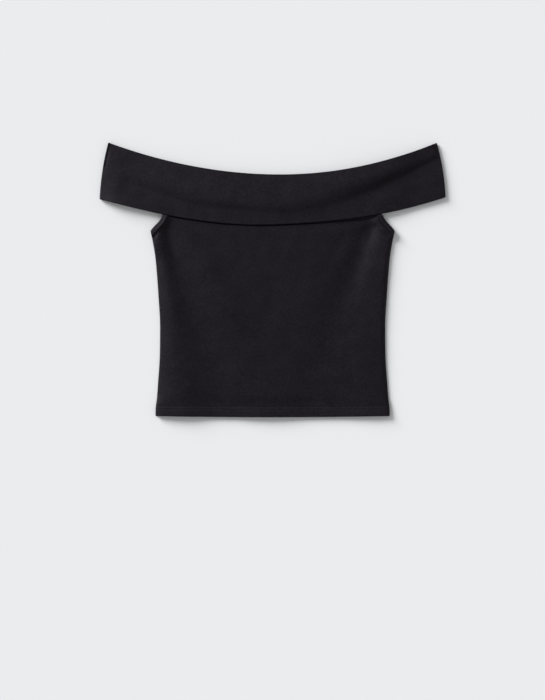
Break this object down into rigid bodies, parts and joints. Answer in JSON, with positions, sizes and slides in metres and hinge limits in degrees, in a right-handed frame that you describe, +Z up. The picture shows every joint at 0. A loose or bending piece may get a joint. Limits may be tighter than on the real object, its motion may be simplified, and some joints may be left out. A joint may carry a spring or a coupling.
{
  "type": "off-shoulder top",
  "caption": "Cropped off-the-shoulder knit top laid flat, with a wide doubled shoulder band, bound armholes and a turned-up hem.",
  "frame": {"origin": "centre of the garment's outline, on the surface it lies on", "axes": "+X across the top to the viewer's right, +Y towards the neckline, +Z up from the surface to the garment's front"},
  "size_m": [0.546, 0.4339, 0.0087],
  "materials": {
    "knit": "matt near-black double knit",
    "binding_knit": "matt near-black self binding"
  },
  "bodies": {
    "root": {"front_panel": "knit", "back_panel": "knit", "band_front": "knit", "band_back": "knit", "binding_front_left": "binding_knit", "binding_front_right": "binding_knit", "binding_back_left": "binding_knit", "binding_back_right": "binding_knit"}
  },
  "joints": []
}
